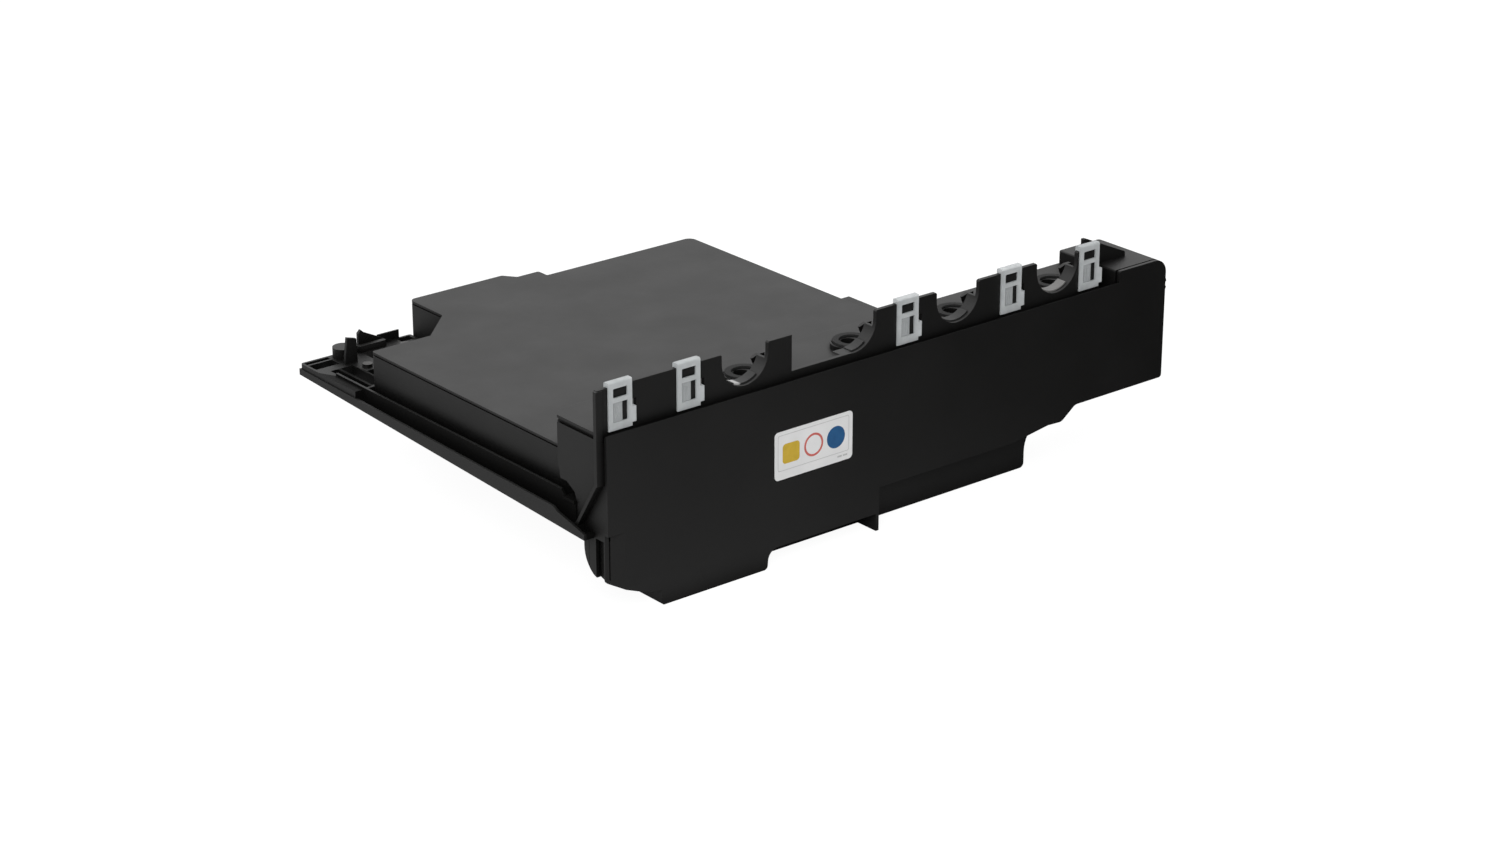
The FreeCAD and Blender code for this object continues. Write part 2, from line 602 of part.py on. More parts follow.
def make_clip(left):
    right = left + CLIP_WIDTH
    top = RIM_TOP + CLIP_BRIDGE
    profile = [
        (RIM_FRONT - CLIP_LEG, CLIP_BOTTOM, 0.5), (RIM_FRONT, CLIP_BOTTOM), (RIM_FRONT, RIM_TOP), (RIM_BACK, RIM_TOP),
        (RIM_BACK, CLIP_BACK_BOTTOM), (RIM_BACK + CLIP_LEG, CLIP_BACK_BOTTOM, 0.5), (RIM_BACK + CLIP_LEG, top, 1.2),
        (RIM_FRONT - CLIP_LEG, top, 1.2),
    ]
    front = RIM_FRONT - CLIP_LEG
    clip = prism(profile, "yz", left, right)
    middle = left + CLIP_WIDTH / 2
    window = block(
        middle - WINDOW_WIDTH / 2, middle + WINDOW_WIDTH / 2, front - 1, RIM_FRONT, WINDOW_BOTTOM, WINDOW_TOP)
    recess = block(
        middle - RECESS_WIDTH / 2, middle + RECESS_WIDTH / 2, front - 1, front + RECESS_DEEP, RECESS_BOTTOM, RECESS_TOP)
    slot = block(
        middle + RECESS_WIDTH / 2 - TONGUE_SLOT, middle + RECESS_WIDTH / 2, front - 1, RIM_FRONT,
        RECESS_BOTTOM, RECESS_TOP)
    tab = block(right - 0.5, right + TAB_OUT, front, RIM_FRONT + 1.6, TAB_BOTTOM, TAB_TOP)
    tab = tab.cut(block(left, right, RIM_FRONT, RIM_BACK, TAB_BOTTOM - 1, TAB_TOP + 1))
    return clip.cut(window).cut(recess).cut(slot).fuse(tab).removeSplitter()


# Sticker

def make_label():
    right = LABEL_LEFT + LABEL_WIDTH
    top = LABEL_BOTTOM + LABEL_HEIGHT
    r = LABEL_ROUND
    return prism([
        (LABEL_LEFT, LABEL_BOTTOM, r), (right, LABEL_BOTTOM, r), (right, top, r), (LABEL_LEFT, top, r),
    ], "xz", -LABEL_THICK, 0)


# Guide rail

def band_foot(y):
    """Height of the rail's underside, which rises towards the back."""
    share = (y - RAIL_FRONT) / (RAIL_BACK - RAIL_FRONT)
    return BAND_FOOT_FRONT + share * (BAND_FOOT_BACK - BAND_FOOT_FRONT)


def frame_outline():
    """Plan view of the rail's end frame, which fills the missing corner of the tank."""
    gap = SEAM
    return [
        (RAIL_OUT, TANK_STEP_Y + gap), (TANK_STEP_X, TANK_STEP_Y + gap), (BLOCK_X - gap, BLOCK_Y + gap),
        (BLOCK_X - gap, RAIL_BACK, 1.5), (RAIL_OUT, RAIL_BACK, 3),
    ]


def make_guide_rail():
    inner = TANK_LEFT - SEAM
    outer_wall = prism([
        (RAIL_FRONT, BAND_FOOT_FRONT), (RAIL_BACK, BAND_FOOT_BACK), (RAIL_BACK, BAND_TOP_BACK), (RAIL_FRONT, BAND_TOP_FRONT),
    ], "yz", RAIL_OUT, RAIL_OUT + RAIL_WALL)
    floor = prism([
        (RAIL_FRONT, BAND_FOOT_FRONT), (RAIL_BACK, BAND_FOOT_BACK), (RAIL_BACK, BAND_FOOT_BACK + RAIL_WALL),
        (RAIL_FRONT, BAND_FOOT_FRONT + RAIL_WALL),
    ], "yz", RAIL_OUT, inner)
    rib = prism([
        (CHANNEL_FRONT + SEAM, band_foot(CHANNEL_FRONT)), (RIB_END, band_foot(RIB_END)), (RIB_END, RAIL_RIB_TOP),
        (CHANNEL_FRONT + 12, RAIL_RIB_TOP), (CHANNEL_FRONT + SEAM, RAIL_RIB_TOP - 5),
    ], "yz", RAIL_RIB_X, RAIL_RIB_X + RAIL_WALL)
    hook = prism([
        (RAIL_RIB_X, RIB_END - 1), (RAIL_RIB_X + RAIL_WALL, RIB_END - 1), (RAIL_RIB_X + RAIL_WALL, RIB_END),
        (RAIL_OUT + RAIL_WALL, RIB_END + 10), (RAIL_OUT, RIB_END + 10),
    ], "xy", BAND_FOOT_BACK, FRAME_TOP)
    root = block(0, inner, LOWER_BACK + SEAM, RAIL_FRONT + 1, BAND_FOOT_FRONT, TROUGH_FLOOR - SEAM)
    frame = prism(frame_outline(), "xy", FRAME_FOOT, FRAME_TOP)
    for x0, x1, y0, y1 in frame_pockets():
        frame = frame.cut(block(x0, x1, y0, y1, FRAME_FOOT + RAIL_WALL, FAR))
    rail = join([outer_wall, floor, rib, root, frame, hook])
    rail = rail.cut(block(
        RAIL_OUT + RAIL_WALL, RAIL_RIB_X, RAIL_FRONT - 1, RIB_END, band_foot(RIB_END), FAR).common(channel_space()))
    boss = pin(BOSS_RADIUS, BOSS_X, BOSS_Y, FRAME_FOOT, BOSS_TOP)
    fin_1 = prism([
        (FIN_1_X, FRAME_FOOT), (FIN_1_X + FIN_1_WIDTH, FRAME_FOOT), (FIN_1_X + FIN_1_WIDTH, FIN_1_TOP - 6),
        (FIN_1_X + 2, FIN_1_TOP),
    ], "xz", FIN_1_Y, FIN_1_Y + FIN_WALL)
    fin_2 = prism([
        (FIN_2_X, FRAME_FOOT), (FIN_2_X + FIN_2_WIDTH, FRAME_FOOT), (FIN_2_X + FIN_2_WIDTH, FIN_2_TOP - 5),
        (FIN_2_X + 2, FIN_2_TOP),
    ], "xz", RAIL_BACK - 2 * FIN_WALL, RAIL_BACK - FIN_WALL)
    stub = pin(STUB_RADIUS, STUB_X, RAIL_BACK - STUB_RADIUS, FRAME_FOOT, STUB_TOP)
    rail = join([rail, boss, fin_1, fin_2, stub])
    for x, y in SCREWS:
        rail = rail.cut(pin(SCREW_SHANK, x, y, FRAME_FOOT - 1, FAR))
    return rail.cut(block(-SEAM, inner + 1, -10, CHANNEL_FRONT + SEAM, TROUGH_FLOOR - SEAM, FAR))


def channel_space():
    """Room of the outer channel above the rail's sloping floor."""
    return prism([
        (RAIL_FRONT - 2, BAND_FOOT_FRONT + RAIL_WALL), (RAIL_BACK, BAND_FOOT_BACK + RAIL_WALL), (RAIL_BACK, FAR),
        (RAIL_FRONT - 2, FAR),
    ], "yz", -20, 20)


def frame_pockets():
    """Moulding pockets of the end frame, as x0, x1, y0, y1."""
    left = TANK_LEFT - RAIL_WALL / 2
    return [
        (RAIL_RIB_X + RAIL_WALL, left + 2, TANK_STEP_Y + RAIL_WALL, RIB_END + 8),
        (RAIL_OUT + RAIL_WALL, -0.5, RIB_END + 13, RAIL_BACK - 12), (RAIL_OUT + RAIL_WALL, 11, RAIL_BACK - 10, RAIL_BACK - 3),
        (1.5, 11, RIB_END + 13, RAIL_BACK - 12), (13.5, 16, RAIL_BACK - 14, RAIL_BACK - 3),
        (31, 53, RAIL_BACK - 13, RAIL_BACK - 6), (55, 69, RAIL_BACK - 9, RAIL_BACK - 3), (31, 50, 262, RAIL_BACK - 15),
        (27, 46, TANK_STEP_Y + 3, 259),
    ]


def make_rail_screws():
    """One compound of separate screws."""
    screws = []
    for x, y in SCREWS:
        head = pin(SCREW_HEAD, x, y, FRAME_TOP, FRAME_TOP + SCREW_HEAD_HIGH)
        screws.append(head.fuse(pin(SCREW_SHANK, x, y, FRAME_TOP - SCREW_LONG, FRAME_TOP)))
    return Part.makeCompound(screws)


# Auger and drive

def shaft_flat():
    """What the flat takes off the shaft's end in the coupling."""
    return block(
        SHAFT_END - COUPLING_SOCKET, FAR, AXIS_Y - SHAFT_RADIUS, AXIS_Y + SHAFT_RADIUS,
        AXIS_Z + SHAFT_RADIUS - FLAT_CUT, AXIS_Z + SHAFT_RADIUS)


def flight_half(start, side):
    """Flat half disc that leans over half a pitch, above the axis for side 1 and below it for side -1."""
    lean = FLIGHT_PITCH / 4
    reach = 1.2 * FLIGHT_RADIUS
    near = start + lean * (1 - 1.2 * side)
    far = start + lean * (1 + 1.2 * side)
    slab = prism([
        (near, AXIS_Y - reach), (near + FLIGHT_THICK, AXIS_Y - reach), (far + FLIGHT_THICK, AXIS_Y + reach),
        (far, AXIS_Y + reach),
    ], "xy", AXIS_Z, AXIS_Z + side * reach)
    return slab.common(rod(FLIGHT_RADIUS, 0, LENGTH, AXIS_Y, AXIS_Z))


def make_auger():
    """Shaft with a flight of leaning half discs, the form that leaves a two-part mould."""
    half_pitch = FLIGHT_PITCH / 2
    count = int((FLIGHT_RIGHT - FLIGHT_LEFT) / half_pitch)
    halves = [flight_half(FLIGHT_LEFT + half_pitch * i, 1 - 2 * (i % 2)) for i in range(count)]
    shaft = rod(SHAFT_RADIUS, BUSH_POCKET_END - BUSH_LENGTH + END_PLAY, SHAFT_END, AXIS_Y, AXIS_Z)
    return join([shaft.cut(shaft_flat())] + halves)


def make_drive_coupling():
    start = LENGTH + BUSH_PROUD + END_PLAY
    body = rod(COUPLING_RADIUS, start, start + COUPLING_LENGTH, AXIS_Y, AXIS_Z)
    bore = rod(SHAFT_RADIUS, start, SHAFT_END, AXIS_Y, AXIS_Z).cut(shaft_flat())
    end = start + COUPLING_LENGTH
    slot = block(
        end - COUPLING_SLOT, end + 1, AXIS_Y - 20, AXIS_Y + 20, AXIS_Z - COUPLING_SLOT / 2, AXIS_Z + COUPLING_SLOT / 2)
    return body.cut(bore).cut(slot)


def make_left_bush():
    start = BUSH_POCKET_END - BUSH_LENGTH
    bush = rod(BUSH_RADIUS, start, BUSH_POCKET_END, AXIS_Y, AXIS_Z)
    return bush.cut(rod(SHAFT_RADIUS + RUNNING, start, BUSH_POCKET_END, AXIS_Y, AXIS_Z))


def make_right_bush():
    inside = LENGTH - WALL
    bush = rod(BUSH_RADIUS, inside, LENGTH + BUSH_PROUD, AXIS_Y, AXIS_Z)
    bush = bush.fuse(rod(BUSH_FLANGE, inside - BUSH_FLANGE_THICK, inside, AXIS_Y, AXIS_Z))
    return bush.cut(rod(SHAFT_RADIUS + RUNNING, 0, LENGTH + 5, AXIS_Y, AXIS_Z))


def make_shaft_seal():
    end = LENGTH - WALL - BUSH_FLANGE_THICK
    seal = rod(SEAL_RADIUS, end - FELT_THICK, end, AXIS_Y, AXIS_Z)
    return seal.cut(rod(SHAFT_RADIUS + FELT_GAP, 0, LENGTH, AXIS_Y, AXIS_Z))


# Assembly

def pieces():
    found = {
        "lower_case": make_lower_case(),
        "top_cover": make_top_cover(),
        "inlet_frame": make_inlet_frame(),
        "front_cover": make_front_cover(),
        "label": make_label(),
        "guide_rail": make_guide_rail(),
        "rail_screws": make_rail_screws(),
        "auger": make_auger(),
        "drive_coupling": make_drive_coupling(),
        "left_bush": make_left_bush(),
        "right_bush": make_right_bush(),
        "shaft_seal": make_shaft_seal(),
        "vent_filter": make_vent_filter(),
    }
    for i, left in enumerate(CLIP_LEFTS):
        found[f"clip_{i + 1}"] = make_clip(left)
    for i, x in enumerate(INLETS):
        found[f"inlet_seal_{i + 1}"] = make_inlet_seal(x)
        found[f"saddle_pad_{i + 1}"] = make_saddle_pad(x)
    return found


os.makedirs("parts", exist_ok=True)
for name, shape in pieces().items():
    shape.translate(-ORIGIN)
    print(f"{name:16s} valid {shape.isValid()} solids {len(shape.Solids)} faces {len(shape.Faces)} volume {shape.Volume:.0f}")
    shape.exportStep(f"parts/{name}.step")
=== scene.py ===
import json
import math
import bmesh
import bpy
from mathutils import Matrix, Vector


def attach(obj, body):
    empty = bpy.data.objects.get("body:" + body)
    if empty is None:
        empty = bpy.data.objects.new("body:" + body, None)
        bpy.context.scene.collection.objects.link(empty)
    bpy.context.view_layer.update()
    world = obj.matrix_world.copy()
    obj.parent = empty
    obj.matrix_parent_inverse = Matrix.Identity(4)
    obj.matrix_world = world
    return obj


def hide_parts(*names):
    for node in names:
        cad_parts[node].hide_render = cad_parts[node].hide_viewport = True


# Finish of a waste toner container: black moulded plastic, translucent clips and a pale sticker.
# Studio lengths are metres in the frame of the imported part. The scene's own forms are made in
# millimetres from the front cover's left end and outer face, as the part is, then set in the frame.

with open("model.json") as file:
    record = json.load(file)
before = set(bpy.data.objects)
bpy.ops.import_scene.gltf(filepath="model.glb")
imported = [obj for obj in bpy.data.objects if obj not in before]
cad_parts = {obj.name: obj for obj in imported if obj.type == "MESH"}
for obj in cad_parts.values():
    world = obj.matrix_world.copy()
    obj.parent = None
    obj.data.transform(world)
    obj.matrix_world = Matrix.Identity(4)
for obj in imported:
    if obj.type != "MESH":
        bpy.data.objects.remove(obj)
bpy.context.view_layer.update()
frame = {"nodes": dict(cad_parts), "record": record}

MM = 0.001
PART_ORIGIN = Vector((202.85, 99.625, 0.0))  # origin of the frame, in the forms' millimetres

# Camera at the photograph's place
CAMERA_PLACE = Vector((-1.20639, -1.44473, 0.79412))
CAMERA_YAW = math.radians(39.3)
CAMERA_PITCH = math.radians(22.0)
CAMERA_LENS = 82.8
CAMERA_SENSOR = 36.0
CAMERA_REACH = (0.01, 100.0)     # nearest and farthest that it sees

# Studio
FLOOR_SIZE = 12.0
FLOOR_WHITE = 0.95               # plain white share of the floor, as the camera sees it
FLOOR_LIT = 0.14                 # colour of its lit share, which carries the shadow
FLOOR_BOUNCE = 0.8               # colour of the floor to everything it lights
CARD_LEFT = (-0.4, 0.58)         # place along X and level of the reflected floor, at its bright end
CARD_RIGHT = (0.34, 0.0)         # the same at its dark end
SKY_BRIGHT = 1.5                 # level of the surroundings in reflections
SKY_BANDS = (                    # height above the horizon and share of that level
    (0.0, 0.12), (0.1, 0.16), (0.3, 0.95), (0.6, 0.95), (1.0, 0.5))
SKY_DIM_SIDE = Vector((0.65, -0.76, 0.0))  # direction in which the surroundings are dimmer
SKY_FULL = (-0.1, SKY_BRIGHT)    # how far a ray leans that way, and the level there
SKY_DIM = (0.8, 0.55 * SKY_BRIGHT)
WORLD_FILL = 0.3                 # level of the surroundings for everything but reflections
# Painted shade: faces in cavities lose the black plastic's shine, by how much of the surroundings they see.
SHADE_REACH = 16 * MM            # cavities narrower than about this lose their shine
SHADE_SHARE = (0.35, 0.9)        # open share of the surroundings with least and with full shine
KEY_LIGHT = (Vector((-1.6, -1.5, 1.5)), 1.0, 34.0)  # place, size and power
TOP_LIGHT = (Vector((0.2, 0.4, 2.0)), 2.0, 16.0)

# Sizes shared by the forms
GAP = 0.25                       # between mouldings that close on each other
ABOVE_ALL = 200.0                # height that cuts reach to
COVER_TOP = 108.0
COVER_BEVEL = 3.0                # height of the bevel along its top edge
DECK_TOP = 107.0
TANK_LEFT = 6.0

# Front wall and its notches
DECK_CUT = 103.0                 # wall stops above this height left of the trough
TROUGH_LEFT = 2.45
TRACK_RIGHT = 366.0
INLETS = [97.3 + 77.9 * i for i in range(4)]
NOTCH_RADIUS = 16.2
NOTCH_BOTTOM = 111.8
NOTCH_Z = NOTCH_BOTTOM + NOTCH_RADIUS
NOTCH_LEAD = 0.8                 # slanted corner where a notch meets the top edge
NOTCH_STEPS = 28                 # chords of a notch's round bottom
RIM_TOP = 133.2
RIM_BOTTOM = 96.0
RIM_FRONT = 4.0
RIM_BACK = 6.5
RIM_LEFT = -3.7
RIM_CORNER = 1.0
POST_RIGHT = 130.2               # a low stretch follows the first notch's right post
LOW_RISE = 0.2                   # low stretch above the notches' bottoms
PIPE_LENGTH = 6.5
PIPE_BURIED = 0.5                # length of a half pipe inside the wall
PIPE_WALL = 1.8
PIPE_TOP = NOTCH_BOTTOM + 11.4
FLANGE_OUT = 4.3
FLANGE_THICK = 2.4
JOINT_FRONT = 3.25
JOINT_BEND = 79.0
JOINT_FOOT = 22.25
JOINT_LAP = 1.0                  # overlap of the joint's upright and its slanted stretch
EAR_Z = 50.0
PAD_THICK = 0.8
PAD_ENDS = (-120, -52)           # angles round a notch between which its pad lies
PAD_STEPS = 14
PALE_SPOT = (-0.1118, -0.1078)  # pale part of the first pad, metres along X
LAST_PAD = 0.112                 # start of the last pad, metres along X

# Collars, set to the right of each notch
COLLAR_SHIFT = 14.4
COLLAR_Y = 22.4
COLLAR_OUTER = 11.6
COLLAR_HOLE = 6.4
COLLAR_TOP = 110.0
COLLAR_BURIED = 0.3              # height of a collar inside the deck
SEAL_THICK = 1.2
SEAL_INSET = 0.6                 # of a foam ring from its collar's edge
SEAL_CLEAR = 1.0                 # and from its hole

# Clips
CLIP_LEFTS = (4.0, 50.0, 206.6, 286.0, 348.6)
CLIP_WIDTH = 15.6
CLIP_BOTTOM = 108.6
CLIP_TOP = 136.0
CLIP_LEG = 1.1
CLIP_BACK_LEG = 0.8
CLIP_BACK_BOTTOM = 120.2
CLIP_ROUND = 1.0
CLIP_TAB_OUT = 2.6
CLIP_TAB_ENDS = (110.6, 119.4)
CLIP_TAB_DEEP = 1.6              # length of a tab inside the wall
CLIP_WINDOW_HALF = 4.8           # half width of its window
CLIP_WINDOW_ENDS = (126.8, 132.2)
CLIP_WINDOW_ROUND = 0.6
CLIP_PANEL_HALF = 5.0            # half width of its open panel
CLIP_PANEL_ENDS = (113.0, 124.2)
CLIP_FILM_RIGHT = 1.6            # right edge of the thin panel, from the clip's middle
CLIP_FILM_THICK = 0.4
CLIP_RIBS = (-3.4, -1.0)         # left edges of its two ribs, from the clip's middle
CLIP_RIB_WIDE = 0.8
CLIP_RIB_ENDS = (114.2, 121.6)

# Rail on the left side
RAIL_OUT = -7.0
RAIL_FRONT = 12.0
RAIL_BACK = 292.0
RAIL_WALL = 1.6
RIB_LEFT = -0.8
RIB_TOP = 65.4
RIB_END = 262.0
BAND_TOP_BACK = 61.0
BAND_FOOT_BACK = 57.2
BAND_FOOT_START = 46.1           # height of the rail's underside at the place below
BAND_START = 11.5
CHANNEL_FRONT = 27.55
SHELF_BACK = 37.5
SHELF_BOTTOM = 60.7
SHELF_TOP = 62.3
NOSE_TOP = 49.4
HOOK_BACK = 272.0
FRAME_FRONT = 233.25
FRAME_FOOT = 57.2
FRAME_TOP = 64.0
FRAME_STEP = (47.0, 71.75, 257.25)  # start and end along X of its slanted front, and where that ends
BOSS = (19.5, 285.4, 6.2)        # place and radius
BOSS_TOP = 70.5
LIP_TOP = 69.3
LUGS = ((244.0, 249.0), (255.0, 261.0))  # ends along the rail of two lugs on its floor
LUG_TALL = 4.2

# Sticker and its print, as left, low, right and high edge
STICKER_FRONT = -0.3
STICKER = (114.8, 51.4, 171.2, 80.1)
STICKER_ROUND = 2.6
PRINT_PROUD = 0.04               # print stands this far before the plate
PRINT_SUNK = 0.02                # and reaches this far into it
LINE = (117.0, 56.6, 168.6, 77.9)
LINE_ROUND = 1.2
LINE_HOLE_ROUND = 1.0
LINE_WIDE = 0.3
SQUARE = (120.4, 60.4, 132.6, 72.2)
SQUARE_ROUND = 2.2
RED_RING = (142.8, 66.6, 6.9, 5.6)  # place, outer and inner radius
BLUE_DISC = (159.0, 66.8, 6.6)   # place and radius
BARS = (160.2, 164.2)            # left edges
BAR_WIDE = 3.2
BAR_ENDS = (54.0, 55.0)


# Forms

def scene_object(name, vertices, faces):
    mesh = bpy.data.meshes.new(name)
    mesh.from_pydata(vertices, [], faces)
    piece = bpy.data.objects.new(name, mesh)
    bpy.context.scene.collection.objects.link(piece)
    return piece


def rounded(corners, steps=6):
    """Outline through corners (u, v) or (u, v, radius), with each rounded corner as short chords."""
    points = []
    for i, corner in enumerate(corners):
        here = Vector(corner[:2])
        if len(corner) < 3:
            points.append(here)
            continue
        back = (Vector(corners[i - 1][:2]) - here).normalized()
        ahead = (Vector(corners[(i + 1) % len(corners)][:2]) - here).normalized()
        half = back.angle(ahead) / 2
        middle = here + (back + ahead).normalized() * (corner[2] / math.sin(half))
        start = here + back * (corner[2] / math.tan(half)) - middle
        end = here + ahead * (corner[2] / math.tan(half)) - middle
        for step in range(steps + 1):
            share = step / steps
            points.append(middle + (start * (1 - share) + end * share).normalized() * corner[2])
    return points


def circle(u, v, radius, steps=48):
    turns = [2 * math.pi * i / steps for i in range(steps)]
    return [Vector((u + radius * math.cos(turn), v + radius * math.sin(turn))) for turn in turns]


def arc(u, v, radius, first, last, steps=20):
    """Points of an arc between two angles in degrees."""
    turns = [math.radians(first + (last - first) * i / steps) for i in range(steps + 1)]
    return [Vector((u + radius * math.cos(turn), v + radius * math.sin(turn))) for turn in turns]


def rounded_box(left, low, right, high, radius):
    return rounded([(left, low, radius), (right, low, radius), (right, high, radius), (left, high, radius)])


def prism(points, plane, start, end):
    """Straight solid of an outline in the plane xy, xz or yz, from start to end across it."""
    order = {"xy": (0, 1, 2), "xz": (0, 2, 1), "yz": (1, 2, 0)}[plane]
    vertices = []
    for across in (start, end):
        for point in points:
            spot = [0.0, 0.0, 0.0]
            spot[order[0]], spot[order[1]], spot[order[2]] = point[0], point[1], across
            vertices.append(spot)
    count = len(points)
    faces = [tuple(range(count)), tuple(range(2 * count - 1, count - 1, -1))]
    faces += [(i, (i + 1) % count, (i + 1) % count + count, i + count) for i in range(count)]
    piece = scene_object("form", vertices, faces)
    work = bmesh.new()
    work.from_mesh(piece.data)
    bmesh.ops.recalc_face_normals(work, faces=work.faces)
    work.to_mesh(piece.data)
    work.free()
    return piece


def block(x0, x1, y0, y1, z0, z1):
    return prism([(x0, y0), (x1, y0), (x1, y1), (x0, y1)], "xy", z0, z1)


def combine(base, others, operation):
    """Joins the others to base, or cuts them from it, and leaves only base."""
    for other in others:
        step = base.modifiers.new("step", "BOOLEAN")
        step.operation = operation
        step.solver = "EXACT"
        step.object = other
    bpy.context.view_layer.update()
    shown = base.evaluated_get(bpy.context.evaluated_depsgraph_get())
    mesh = bpy.data.meshes.new_from_object(shown)
    base.modifiers.clear()
    base.data = mesh
    for other in others:
        bpy.data.objects.remove(other)
    return base


def join(base, others):
    return combine(base, others, "UNION")


def cut(base, others):
    return combine(base, others, "DIFFERENCE")


def set_in_frame(piece, name, material, nodes):
    """Moves a form made in millimetres into the frame and lets it stand for the CAD nodes."""
    piece.data.transform(Matrix.Scale(MM, 4) @ Matrix.Translation(-PART_ORIGIN))
    piece.name = name
    piece.data.name = name
    piece.data.materials.clear()
    piece.data.materials.append(material)
    piece.data.polygons.foreach_set("use_smooth", [True] * len(piece.data.polygons))
    piece.data.set_sharp_from_angle(angle=math.radians(30))
    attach(piece, "container")
    if nodes:
        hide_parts(*nodes)
    return piece


def low_stretch():
    """What is missing above the low stretch between the first post and the second inlet."""
    low = NOTCH_BOTTOM + LOW_RISE
    return block(POST_RIGHT, INLETS[1], RIM_FRONT - 1, RIM_BACK + PIPE_LENGTH + 1, low, ABOVE_ALL)


def wall_outline():
    """Wall with U-shaped notches, open at the top."""
    points = [(RIM_LEFT, RIM_BOTTOM), (TRACK_RIGHT, RIM_BOTTOM)]
    points += arc(TRACK_RIGHT - RIM_CORNER, RIM_TOP - RIM_CORNER, RIM_CORNER, 0, 90, 4)
    for x in reversed(INLETS):
        points.append((x + NOTCH_RADIUS + NOTCH_LEAD, RIM_TOP))
        points.append((x + NOTCH_RADIUS, RIM_TOP - NOTCH_LEAD))
        points += arc(x, NOTCH_Z, NOTCH_RADIUS, 0, -180, NOTCH_STEPS)
        points.append((x - NOTCH_RADIUS, RIM_TOP - NOTCH_LEAD))
        points.append((x - NOTCH_RADIUS - NOTCH_LEAD, RIM_TOP))
    points += [(RIM_LEFT + RIM_CORNER, RIM_TOP), (RIM_LEFT, RIM_TOP - RIM_CORNER)]
    return points


def half_pipe(x):
    """Short half pipe that carries a notch's round bottom backwards."""
    top = PIPE_TOP - NOTCH_Z
    outer = NOTCH_RADIUS + PIPE_WALL
    lean = math.degrees(math.asin(top / outer))
    inner_lean = math.degrees(math.asin(top / NOTCH_RADIUS))
    points = arc(x, NOTCH_Z, outer, lean, -180 - lean, NOTCH_STEPS)
    points += arc(x, NOTCH_Z, NOTCH_RADIUS, -180 - inner_lean, inner_lean, NOTCH_STEPS)
    return prism(points, "xz", RIM_BACK - PIPE_BURIED, RIM_BACK + PIPE_LENGTH)


def tab_slot(left):
    """Slot in the wall for the tab of the clip that starts at left."""
    right = left + CLIP_WIDTH
    low, high = CLIP_TAB_ENDS
    return block(right - 0.2, right + CLIP_TAB_OUT + 0.8, RIM_FRONT - 1, RIM_BACK + 1, low - 0.8, high + 4)


def make_notched_wall():
    """Wall with its notches, half pipes and slots, and the flange along the joint at its left end."""
    wall = prism(wall_outline(), "xz", RIM_FRONT, RIM_BACK)
    joint_back = JOINT_FRONT + FLANGE_THICK
    lap = JOINT_BEND + JOINT_LAP
    upright = block(-FLANGE_OUT, 0, JOINT_FRONT, joint_back, JOINT_BEND, RIM_TOP - 0.4)
    slant = prism([
        (JOINT_FRONT, lap), (JOINT_FOOT, EAR_Z), (JOINT_FOOT + FLANGE_THICK, EAR_Z), (joint_back, lap)],
        "yz", -FLANGE_OUT, -0.05)
    wall = join(wall, [half_pipe(x) for x in INLETS])
    end = block(RIM_LEFT - 1, TROUGH_LEFT, RIM_FRONT - 1, RIM_BACK + 1, RIM_BOTTOM - 1, DECK_CUT)
    wall = cut(wall, [low_stretch(), end] + [tab_slot(left) for left in CLIP_LEFTS])
    return join(wall, [upright, slant])


def make_pad(x):
    """Pad that lines the bottom of a half pipe."""
    first, last = PAD_ENDS
    points = arc(x, NOTCH_Z, NOTCH_RADIUS, first, last, PAD_STEPS)
    points += arc(x, NOTCH_Z, NOTCH_RADIUS - PAD_THICK, last, first, PAD_STEPS)
    return cut(prism(points, "xz", RIM_BACK, RIM_BACK + PIPE_LENGTH), [low_stretch()])


def ring(plane, u, v, outer, inner, start, end):
    """Round ring with its axis across the plane."""
    hole = prism(circle(u, v, inner), plane, start - 1, end + 1)
    return cut(prism(circle(u, v, outer), plane, start, end), [hole])


def make_collar(x):
    """Raised rim round the hole that the toner falls through."""
    low = DECK_TOP - COLLAR_BURIED
    return ring("xy", x + COLLAR_SHIFT, COLLAR_Y, COLLAR_OUTER, COLLAR_HOLE, low, COLLAR_TOP)


def make_seal(x):
    """Foam ring on a collar."""
    outer = COLLAR_OUTER - SEAL_INSET
    inner = COLLAR_HOLE + SEAL_CLEAR
    return ring("xy", x + COLLAR_SHIFT, COLLAR_Y, outer, inner, COLLAR_TOP, COLLAR_TOP + SEAL_THICK)


def make_clip(left):
    """Clip over the wall, with a window, an open panel and a tab on its right side."""
    right = left + CLIP_WIDTH
    middle = left + CLIP_WIDTH / 2
    front = RIM_FRONT - CLIP_LEG
    clip = prism(rounded([
        (front, CLIP_BOTTOM), (RIM_FRONT, CLIP_BOTTOM), (RIM_FRONT, RIM_TOP), (RIM_BACK, RIM_TOP),
        (RIM_BACK, CLIP_BACK_BOTTOM), (RIM_BACK + CLIP_BACK_LEG, CLIP_BACK_BOTTOM),
        (RIM_BACK + CLIP_BACK_LEG, CLIP_TOP, CLIP_ROUND), (front, CLIP_TOP, CLIP_ROUND)]), "yz", left, right)
    low, high = CLIP_WINDOW_ENDS
    window_right = middle + CLIP_WINDOW_HALF
    window = rounded_box(middle - CLIP_WINDOW_HALF, low, window_right, high, CLIP_WINDOW_ROUND)
    window = prism(window, "xz", front - 1, RIM_FRONT)
    panel = block(middle - CLIP_PANEL_HALF, middle + CLIP_PANEL_HALF, front - 1, RIM_FRONT, *CLIP_PANEL_ENDS)
    tab = block(right - 0.5, right + CLIP_TAB_OUT, front, RIM_FRONT + CLIP_TAB_DEEP, *CLIP_TAB_ENDS)
    tab = cut(tab, [block(left, right, RIM_FRONT, RIM_BACK, RIM_BOTTOM, RIM_TOP)])
    return join(cut(clip, [window, panel]), [tab])


